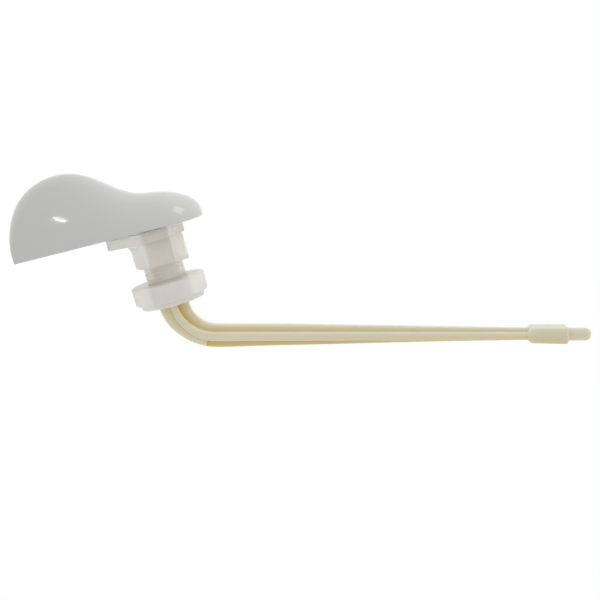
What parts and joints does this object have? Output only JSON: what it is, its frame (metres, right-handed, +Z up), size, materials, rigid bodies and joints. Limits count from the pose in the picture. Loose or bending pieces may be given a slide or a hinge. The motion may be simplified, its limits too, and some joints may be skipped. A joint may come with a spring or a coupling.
{
  "type": "cistern lever",
  "caption": "Cistern flush lever: hollow moulded handle on a bent cross-section arm that turns in a threaded bush, clamped through the cistern's wall by a round lock nut.",
  "frame": {"origin": "on the shank's axis, at the face of the bush's flange that seats on the cistern's outer wall", "axes": "+Y along the shank into the cistern, +Z up, +X along the handle to the end of its paddle; the arm runs towards -X inside the cistern"},
  "size_m": [0.214, 0.1195, 0.0296],
  "materials": {
    "handle_gloss": "polished moulded ABS",
    "bush_natural": "natural translucent polypropylene",
    "nut_natural": "natural translucent polypropylene",
    "arm_cream": "moulded cream acetal"
  },
  "bodies": {
    "bush": {"mounting_bush": "bush_natural"},
    "lever": {"handle": "handle_gloss", "lever_arm": "arm_cream"},
    "nut": {"lock_nut": "nut_natural"}
  },
  "joints": [
    {"name": "lever_pivot", "type": "hinge", "parent": "bush", "child": "lever", "pos_m": [0, 0, 0], "axis": [0, 1, 0], "range_deg": [0, 30]},
    {"name": "nut_travel", "type": "slide", "parent": "bush", "child": "nut", "axis": [0, 1, 0], "range_m": [-0.0065, 0.004]}
  ]
}
